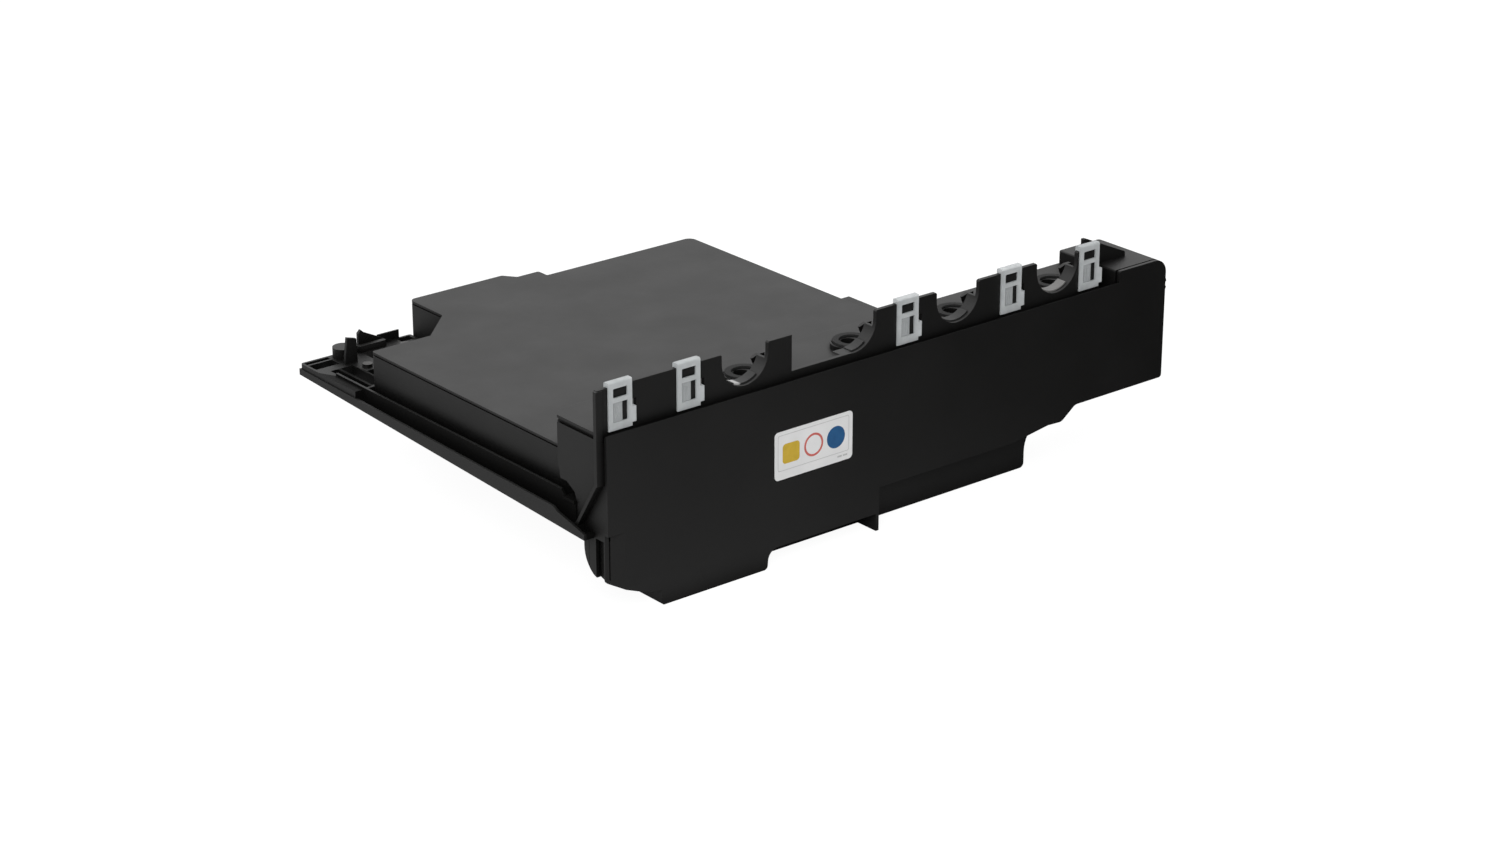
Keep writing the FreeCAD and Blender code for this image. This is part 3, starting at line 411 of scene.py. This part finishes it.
def make_clip_film(left):
    """Thin panel of a clip with two ribs, left of its tongue's slot."""
    middle = left + CLIP_WIDTH / 2
    back = RIM_FRONT - 0.1
    film_front = back - CLIP_FILM_THICK
    film = block(middle - CLIP_PANEL_HALF, middle + CLIP_FILM_RIGHT, film_front, back, *CLIP_PANEL_ENDS)
    ribs = []
    for shift in CLIP_RIBS:
        start = middle + shift
        ribs.append(block(start, start + CLIP_RIB_WIDE, back - 0.8, back - 0.2, *CLIP_RIB_ENDS))
    return join(film, ribs)


def band_foot(y):
    """Height of the rail's underside, which rises towards the back."""
    return BAND_FOOT_START + (y - BAND_START) / (RAIL_BACK - BAND_START) * (BAND_FOOT_BACK - BAND_FOOT_START)


def rail_frame():
    """Ribbed end frame with its boss, fins, bar and lip."""
    left = RAIL_OUT + 0.8
    back = RAIL_BACK - RAIL_WALL
    step_left, step_right, step_back = FRAME_STEP
    plate = prism(rounded([
        (left, FRAME_FRONT), (step_left, FRAME_FRONT), (step_right, step_back), (step_right, RAIL_BACK, 1.5),
        (left, RAIL_BACK, 2)]), "xy", FRAME_FOOT, FRAME_TOP)
    pockets = [
        (0.8, 5.75, 234.85, 270), (7.6, 15.8, 235.85, 270), (17.4, 30, 235.85, 257),
        (31.6, 45.4, 235.85, 257), (31.6, 50, 260, 282), (left + RAIL_WALL, 11.7, 277, back - 5),
        (left + RAIL_WALL, 11.7, back - 3.4, back), (60.5, 69.5, 284, back)]
    plate = cut(plate, [block(x0, x1, y0, y1, FRAME_FOOT - 1, ABOVE_ALL) for x0, x1, y0, y1 in pockets])
    boss = prism(circle(*BOSS), "xy", FRAME_FOOT, BOSS_TOP)
    front_fin = prism([(12, FRAME_FOOT), (22, FRAME_FOOT), (21.4, 78.6), (15, 80.4)], "xz", 273, 275)
    back_fin = prism([
        (33.2, FRAME_FOOT), (57.2, FRAME_FOOT), (57.2, FRAME_TOP), (37.2, 74), (35.2, 76), (33.2, 74)],
        "xz", RAIL_BACK - 2.6, RAIL_BACK - 0.6)
    bar = block(30.2, 49.2, 284, 287.2, FRAME_FOOT, 68)
    lip = prism(rounded([
        (47.5, 291.0), (63, 291.0), (63, RAIL_BACK, 0.6), (47.5, RAIL_BACK, 0.6)]), "xy", FRAME_FOOT, LIP_TOP)
    return join(plate, [boss, front_fin, back_fin, bar, lip])


def make_rail():
    """Outer band, sloping floor, rib and end frame of the guide rail."""
    inner = TANK_LEFT - GAP
    front = RAIL_FRONT
    foot = band_foot(front)
    start = CHANNEL_FRONT
    floor_left = RAIL_OUT + 0.2
    band = prism([
        (front, foot), (RAIL_BACK, BAND_FOOT_BACK), (RAIL_BACK, BAND_TOP_BACK), (40, 57.1), (36, 55.1),
        (front, 49.5)], "yz", RAIL_OUT, RAIL_OUT + RAIL_WALL)
    floor = prism([
        (front, foot), (RAIL_BACK, BAND_FOOT_BACK), (RAIL_BACK, BAND_FOOT_BACK + RAIL_WALL),
        (front, foot + RAIL_WALL)], "yz", floor_left, inner)
    nose = block(floor_left, -GAP, front, front + RAIL_WALL, foot, NOSE_TOP)
    rib = prism([
        (start, band_foot(start)), (RIB_END, band_foot(RIB_END)), (RIB_END, RIB_TOP), (40.5, RIB_TOP),
        (SHELF_BACK, SHELF_TOP), (start, SHELF_TOP)], "yz", RIB_LEFT, RIB_LEFT + RAIL_WALL)
    shelf = block(RIB_LEFT - 1, inner, start, SHELF_BACK, SHELF_BOTTOM, SHELF_TOP)
    hook = prism([
        (RIB_LEFT, RIB_END - 1), (RIB_LEFT + RAIL_WALL, RIB_END - 1), (RIB_LEFT + RAIL_WALL, RIB_END),
        (RAIL_OUT + 2.4, HOOK_BACK), (RAIL_OUT + 0.8, HOOK_BACK)], "xy", BAND_FOOT_BACK, FRAME_TOP)
    rail = join(band, [floor, nose, rib, shelf, hook])
    rail = cut(rail, [block(-GAP, 8, 0, 22.5, 0, ABOVE_ALL), block(-GAP, 8, 0, start, 0, 49.75)])
    rail = join(rail, [block(RAIL_OUT + 1, -GAP, 20.5, 26, 47, 51.2)])
    lugs = []
    for y0, y1 in LUGS:
        low = band_foot(y0)
        lugs.append(block(RAIL_OUT + 1.2, RAIL_OUT + 3.2, y0, y1, low, low + LUG_TALL))
    return join(join(rail, [rail_frame()]), lugs)


def make_sticker(finishes):
    """Plate with plain fields of colour."""
    face = STICKER_FRONT + PRINT_PROUD
    print_back = face + PRINT_SUNK
    plate = prism(rounded_box(*STICKER, STICKER_ROUND), "xz", face, 0)
    set_in_frame(plate, "sticker_plate", finishes["sticker"], ["label"])
    left, low, right, high = LINE
    wide = LINE_WIDE
    line = prism(rounded_box(*LINE, LINE_ROUND), "xz", STICKER_FRONT + PRINT_PROUD / 2, print_back)
    hole = rounded_box(left + wide, low + wide, right - wide, high - wide, LINE_HOLE_ROUND)
    line = cut(line, [prism(hole, "xz", STICKER_FRONT - 1, 1)])
    square = prism(rounded_box(*SQUARE, SQUARE_ROUND), "xz", STICKER_FRONT, print_back)
    red = ring("xz", *RED_RING, STICKER_FRONT, print_back)
    disc = prism(circle(*BLUE_DISC), "xz", STICKER_FRONT, print_back)
    bars = [block(start, start + BAR_WIDE, STICKER_FRONT, print_back, *BAR_ENDS) for start in BARS]
    prints = (
        (line, "print_grey"), (square, "print_yellow"), (red, "print_red"), (disc, "print_blue"),
        (join(bars[0], bars[1:]), "print_grey"))
    for piece, name in prints:
        set_in_frame(piece, "sticker_" + name, finishes[name], [])


def add_forms(finishes):
    """The scene's own forms, in place of the plainer solids."""
    black = finishes["black_plastic"]
    clear = finishes["clip_plastic"]
    pad_film = finishes["patchy_film"]
    set_in_frame(make_notched_wall(), "notched_wall", black, ["inlet_frame"])
    rail = set_in_frame(make_rail(), "rail", black, ["guide_rail"])
    # painted shade inside the rail's channel
    darken_channel(rail, finishes["painted_shade_plastic"])
    for i, x in enumerate(INLETS):
        set_in_frame(make_collar(x), f"collar_{i + 1}", black, [])
        set_in_frame(make_seal(x), f"seal_{i + 1}", finishes["foam"], [f"inlet_seal_{i + 1}"])
    for i, x in enumerate(INLETS):
        set_in_frame(make_pad(x), f"pad_{i + 1}", pad_film, [f"saddle_pad_{i + 1}"])
    for i, left in enumerate(CLIP_LEFTS):
        set_in_frame(make_clip(left), f"clip_body_{i + 1}", clear, [f"clip_{i + 1}"])
        set_in_frame(make_clip_film(left), f"clip_film_{i + 1}", finishes["clip_film"], [])
    make_sticker(finishes)


def darken_channel(rail, material):
    """Second finish, painted shade: the low-shine copy of the black plastic on the faces inside the rail's
    channel, which the light hardly reaches.
    """
    rail.data.materials.append(material)
    for face in rail.data.polygons:
        spot = face.center / MM + PART_ORIGIN
        if spot.x > RAIL_OUT + RAIL_WALL + 0.05 and spot.y < RIB_END and spot.z < RIB_TOP - 0.1:
            face.material_index = 1


def darken_joint(cover, material):
    """Gives the bevel along the front cover's top edge painted shade: the low-shine copy of the black
    plastic, as the shade of a deep gap.
    """
    cover.data.materials.append(material)
    for face in cover.data.polygons:
        height = (cover.matrix_world @ face.center).z / MM
        if COVER_TOP - COVER_BEVEL < height < COVER_TOP + 0.1 and face.normal.z > 0.3:
            face.material_index = 1


# Node helpers

NOISE_LOW = 0.3                  # noise hardly leaves this range
NOISE_HIGH = 0.7


def new_material(name):
    """Empty node material, returned with its node tree and its main shader."""
    material = bpy.data.materials.new(name)
    material.use_nodes = True
    tree = material.node_tree
    tree.nodes.clear()
    shader = tree.nodes.new("ShaderNodeBsdfPrincipled")
    output = tree.nodes.new("ShaderNodeOutputMaterial")
    tree.links.new(shader.outputs[0], output.inputs["Surface"])
    return material, tree, shader


def object_noise(tree, size, detail=2.0, roughness=0.5):
    """Noise fixed to the object, with features of about the given size in metres."""
    place = tree.nodes.new("ShaderNodeTexCoord")
    noise = tree.nodes.new("ShaderNodeTexNoise")
    noise.inputs["Scale"].default_value = 1 / size
    noise.inputs["Detail"].default_value = detail
    noise.inputs["Roughness"].default_value = roughness
    tree.links.new(place.outputs["Object"], noise.inputs["Vector"])
    return noise.outputs["Fac"]


def ramp(tree, value, stops):
    """Colour ramp through (place, colour) stops."""
    node = tree.nodes.new("ShaderNodeValToRGB")
    ends = node.color_ramp.elements
    ends[0].position, ends[0].color = stops[0]
    ends[1].position, ends[1].color = stops[-1]
    for place, colour in stops[1:-1]:
        ends.new(place).color = colour
    tree.links.new(value, node.inputs["Fac"])
    return node.outputs["Color"]


def map_range(tree, value, first, last, smooth=False):
    """Value led from the first numbers of two pairs to their second numbers."""
    node = tree.nodes.new("ShaderNodeMapRange")
    if smooth:
        node.interpolation_type = "SMOOTHSTEP"
    node.inputs["From Min"].default_value, node.inputs["To Min"].default_value = first
    node.inputs["From Max"].default_value, node.inputs["To Max"].default_value = last
    tree.links.new(value, node.inputs["Value"])
    return node.outputs["Result"]


def one_axis(tree, vector, axis):
    parts = tree.nodes.new("ShaderNodeSeparateXYZ")
    tree.links.new(vector, parts.inputs[0])
    return parts.outputs[axis]


def bump(tree, height, distance, normal=None):
    node = tree.nodes.new("ShaderNodeBump")
    node.inputs["Distance"].default_value = distance
    tree.links.new(height, node.inputs["Height"])
    if normal is not None:
        tree.links.new(normal, node.inputs["Normal"])
    return node.outputs["Normal"]


def soft_edge(tree, radius):
    """Normal that is rounded near each edge."""
    node = tree.nodes.new("ShaderNodeBevel")
    node.samples = 4
    node.inputs["Radius"].default_value = radius
    return node.outputs["Normal"]


def open_share(tree, distance, low, high):
    """Painted shade: a value that falls from high on open faces to low in cavities."""
    node = tree.nodes.new("ShaderNodeAmbientOcclusion")
    node.samples = 6
    node.inputs["Distance"].default_value = distance
    hidden, clear = SHADE_SHARE
    return map_range(tree, node.outputs["AO"], (hidden, low), (clear, high))


def grey(level, tint=0.0):
    """Neutral colour, slightly warmer for a positive tint."""
    return (level * (1 + tint), level, level * (1 - tint), 1.0)


# Materials

def black_plastic(name, shine):
    """Satin black moulding: fine eroded grain, faint cloudiness and soft edges."""
    material, tree, shader = new_material(name)
    clouds = object_noise(tree, 60 * MM, 3.0)
    colours = ramp(tree, clouds, [(NOISE_LOW, grey(0.004, 0.03)), (NOISE_HIGH, grey(0.006, 0.03))])
    tree.links.new(colours, shader.inputs["Base Color"])
    polish = object_noise(tree, 45 * MM, 4.0, 0.6)
    tree.links.new(map_range(tree, polish, (NOISE_LOW, 0.5), (NOISE_HIGH, 0.56)), shader.inputs["Roughness"])
    # painted shade: the shine falls in cavities
    tree.links.new(open_share(tree, SHADE_REACH, 0.03, 0.5 * shine), shader.inputs["Specular IOR Level"])
    grain = bump(tree, object_noise(tree, 0.5 * MM, 2.0), 0.012 * MM, soft_edge(tree, 0.35 * MM))
    tree.links.new(grain, shader.inputs["Normal"])
    return material


def clip_plastic(name, see_through):
    """Natural white plastic that shows some of what lies behind it."""
    material, tree, shader = new_material(name)
    clouds = object_noise(tree, 5 * MM, 3.0)
    colours = ramp(tree, clouds, [(NOISE_LOW, (0.66, 0.69, 0.7, 1)), (NOISE_HIGH, (0.76, 0.79, 0.8, 1))])
    tree.links.new(colours, shader.inputs["Base Color"])
    shader.inputs["Roughness"].default_value = 0.35
    grain = bump(tree, object_noise(tree, 0.8 * MM), 0.01 * MM, soft_edge(tree, 0.25 * MM))
    tree.links.new(grain, shader.inputs["Normal"])
    clear = tree.nodes.new("ShaderNodeBsdfTransparent")
    mix = tree.nodes.new("ShaderNodeMixShader")
    mix.inputs["Fac"].default_value = see_through
    tree.links.new(shader.outputs[0], mix.inputs[1])
    tree.links.new(clear.outputs[0], mix.inputs[2])
    tree.links.new(mix.outputs[0], tree.nodes["Material Output"].inputs["Surface"])
    return material


def patchy_film():
    """Film that is near black, but pale on a spot of the first pad and mid grey on the last pad."""
    material, tree, shader = new_material("patchy_film")
    place = tree.nodes.new("ShaderNodeTexCoord")
    spot_start, spot_end = PALE_SPOT
    along = map_range(tree, one_axis(tree, place.outputs["Object"], "X"), (spot_start, 0.0), (LAST_PAD, 1.0))
    spot_share = (spot_end - spot_start) / (LAST_PAD - spot_start)
    pad_film = grey(0.02)
    pale_tone = grey(0.6)
    colours = ramp(tree, along, [
        (0.0, pad_film), (0.003, pale_tone), (spot_share, pale_tone), (spot_share + 0.004, pad_film), (0.98, pad_film),
        (1.0, grey(0.2, 0.02))])
    tree.links.new(colours, shader.inputs["Base Color"])
    shader.inputs["Roughness"].default_value = 0.6
    tree.links.new(bump(tree, object_noise(tree, 0.5 * MM, 3.0), 0.01 * MM), shader.inputs["Normal"])
    return material


def plain_surface(name, low, high, cloud_size, roughness, grain_size, grain_depth, metal=0.0):
    """Cloudy colour between low and high with an even grain. Sizes are in millimetres."""
    material, tree, shader = new_material(name)
    clouds = object_noise(tree, cloud_size * MM, 3.0)
    tree.links.new(ramp(tree, clouds, [(NOISE_LOW, low), (NOISE_HIGH, high)]), shader.inputs["Base Color"])
    shader.inputs["Roughness"].default_value = roughness
    shader.inputs["Metallic"].default_value = metal
    grain = bump(tree, object_noise(tree, grain_size * MM, 3.0), grain_depth * MM, soft_edge(tree, 0.2 * MM))
    tree.links.new(grain, shader.inputs["Normal"])
    return material


def printed(name, low, high):
    return plain_surface(name, low, high, 4, 0.4, 0.6, 0.003)


def make_finishes():
    """Materials by the names of their slots, and second finishes by names of their own."""
    return {
        "black_plastic": black_plastic("black_plastic", 1.0),
        # painted shade: a low-shine copy of the black plastic, for the rail's channel and the joint along the
        # front cover's top edge
        "painted_shade_plastic": black_plastic("painted_shade_plastic", 0.12),
        "clip_plastic": clip_plastic("clip_plastic", 0.32),
        "clip_film": clip_plastic("clip_film", 0.62),
        "sticker": plain_surface("sticker", grey(0.8), grey(0.86), 12, 0.4, 0.6, 0.003),
        "print_grey": printed("print_grey", grey(0.5), grey(0.56)),
        "print_yellow": printed("print_yellow", (0.6, 0.4, 0.03, 1), (0.68, 0.46, 0.04, 1)),
        "print_red": printed("print_red", (0.6, 0.12, 0.1, 1), (0.66, 0.16, 0.13, 1)),
        "print_blue": printed("print_blue", (0.01, 0.09, 0.24, 1), (0.015, 0.11, 0.28, 1)),
        "steel": plain_surface("dark_steel", grey(0.06, 0.01), grey(0.1, 0.02), 1.5, 0.42, 0.3, 0.004, 1.0),
        "bush_plastic": plain_surface("bush_plastic", grey(0.5, 0.04), grey(0.6, 0.04), 4, 0.35, 0.5, 0.005),
        "felt": plain_surface("felt", grey(0.24, 0.05), grey(0.42, 0.05), 1.2, 0.95, 0.25, 0.12),
        "foam": plain_surface("foam", grey(0.012), grey(0.035), 0.7, 0.9, 0.35, 0.15),
        "pale_film": plain_surface("pale_film", grey(0.16), grey(0.26), 3, 0.4, 0.5, 0.004),
        "patchy_film": patchy_film(),
    }


def dress_nodes(finishes):
    """Gives each solid of the part the material of its slot."""
    for part in frame["record"]["subparts"]:
        node = frame["nodes"][part["node"]]
        node.data.materials.clear()
        node.data.materials.append(finishes[part["material_slot"]])


# Camera, floor and light

def add_camera():
    data = bpy.data.cameras.new("camera")
    data.lens = CAMERA_LENS
    data.sensor_width = CAMERA_SENSOR
    data.clip_start, data.clip_end = CAMERA_REACH
    camera = bpy.data.objects.new("camera", data)
    flat = math.cos(CAMERA_PITCH)
    forward = Vector((math.sin(CAMERA_YAW) * flat, math.cos(CAMERA_YAW) * flat, -math.sin(CAMERA_PITCH)))
    camera.location = CAMERA_PLACE
    camera.rotation_mode = "QUATERNION"
    camera.rotation_quaternion = forward.to_track_quat("-Z", "Y")
    bpy.context.scene.collection.objects.link(camera)
    bpy.context.scene.camera = camera


def mix_values(tree, share, low, high):
    """Value that runs from low to high with the share. Both may be numbers or outputs."""
    node = tree.nodes.new("ShaderNodeMix")
    for socket, value in ((2, low), (3, high)):
        if isinstance(value, float):
            node.inputs[socket].default_value = value
        else:
            tree.links.new(value, node.inputs[socket])
    tree.links.new(share, node.inputs["Factor"])
    return node.outputs[0]


def card_level(tree):
    """Level of the floor in reflections, falling off towards the right of the picture."""
    place = tree.nodes.new("ShaderNodeNewGeometry")
    along = one_axis(tree, place.outputs["Position"], "X")
    return map_range(tree, along, CARD_LEFT, CARD_RIGHT, smooth=True)


def blend_shaders(tree, share, low, high):
    node = tree.nodes.new("ShaderNodeMixShader")
    tree.links.new(share, node.inputs["Fac"])
    tree.links.new(low, node.inputs[1])
    tree.links.new(high, node.inputs[2])
    return node.outputs[0]


def add_floor():
    """White floor with a faint shadow. Reflections see a card on it, and its light stays even."""
    half = FLOOR_SIZE / 2
    corners = [(-half, -half, 0), (half, -half, 0), (half, half, 0), (-half, half, 0)]
    floor = scene_object("floor", corners, [(0, 1, 2, 3)])
    material, tree, bounce = new_material("floor")
    bounce.inputs["Base Color"].default_value = grey(FLOOR_BOUNCE)
    bounce.inputs["Roughness"].default_value = 1.0
    bounce.inputs["Specular IOR Level"].default_value = 0.0
    lit = tree.nodes.new("ShaderNodeBsdfDiffuse")
    lit.inputs["Color"].default_value = grey(FLOOR_LIT)
    white = tree.nodes.new("ShaderNodeEmission")
    white.inputs["Strength"].default_value = FLOOR_WHITE
    shown = tree.nodes.new("ShaderNodeAddShader")
    tree.links.new(lit.outputs[0], shown.inputs[0])
    tree.links.new(white.outputs[0], shown.inputs[1])
    card = tree.nodes.new("ShaderNodeEmission")
    tree.links.new(card_level(tree), card.inputs["Strength"])
    path = tree.nodes.new("ShaderNodeLightPath")
    mirrored = blend_shaders(tree, path.outputs["Is Glossy Ray"], bounce.outputs[0], card.outputs[0])
    through = blend_shaders(tree, path.outputs["Is Transmission Ray"], mirrored, shown.outputs[0])
    final = blend_shaders(tree, path.outputs["Is Camera Ray"], through, shown.outputs[0])
    tree.links.new(final, tree.nodes["Material Output"].inputs["Surface"])
    floor.data.materials.append(material)


def sky_level(tree):
    """Level of the surroundings in reflections, by height and by side."""
    place = tree.nodes.new("ShaderNodeTexCoord").outputs["Generated"]
    band = ramp(tree, one_axis(tree, place, "Z"), [(height, grey(share)) for height, share in SKY_BANDS])
    facing = tree.nodes.new("ShaderNodeVectorMath")
    facing.operation = "DOT_PRODUCT"
    facing.inputs[1].default_value = SKY_DIM_SIDE
    tree.links.new(place, facing.inputs[0])
    level = tree.nodes.new("ShaderNodeMath")
    level.operation = "MULTIPLY"
    tree.links.new(band, level.inputs[0])
    tree.links.new(map_range(tree, facing.outputs["Value"], SKY_FULL, SKY_DIM, smooth=True), level.inputs[1])
    return level.outputs[0]


def add_world():
    """White to the camera, banded in reflections and a soft grey fill for everything else."""
    world = bpy.data.worlds.new("studio")
    world.use_nodes = True
    tree = world.node_tree
    path = tree.nodes.new("ShaderNodeLightPath")
    indirect = mix_values(tree, path.outputs["Is Glossy Ray"], WORLD_FILL, sky_level(tree))
    through = mix_values(tree, path.outputs["Is Transmission Ray"], indirect, 1.0)
    level = mix_values(tree, path.outputs["Is Camera Ray"], through, 1.0)
    tree.links.new(level, tree.nodes["Background"].inputs["Strength"])
    tree.nodes["Background"].inputs["Color"].default_value = (1, 1, 1, 1)
    bpy.context.scene.world = world


def add_light(name, setting):
    place, size, power = setting
    data = bpy.data.lights.new(name, "AREA")
    data.shape = "DISK"
    data.size = size
    data.energy = power
    light = bpy.data.objects.new(name, data)
    light.location = place
    light.rotation_mode = "QUATERNION"
    light.rotation_quaternion = (-place).to_track_quat("-Z", "Y")
    light.visible_glossy = False
    bpy.context.scene.collection.objects.link(light)


add_camera()
add_world()
add_floor()
add_light("key_light", KEY_LIGHT)
add_light("top_light", TOP_LIGHT)
finishes = make_finishes()
dress_nodes(finishes)
# painted shade in the joint along the front cover's top edge
darken_joint(frame["nodes"]["front_cover"], finishes["painted_shade_plastic"])
add_forms(finishes)

bpy.context.scene.view_settings.view_transform = "Standard"
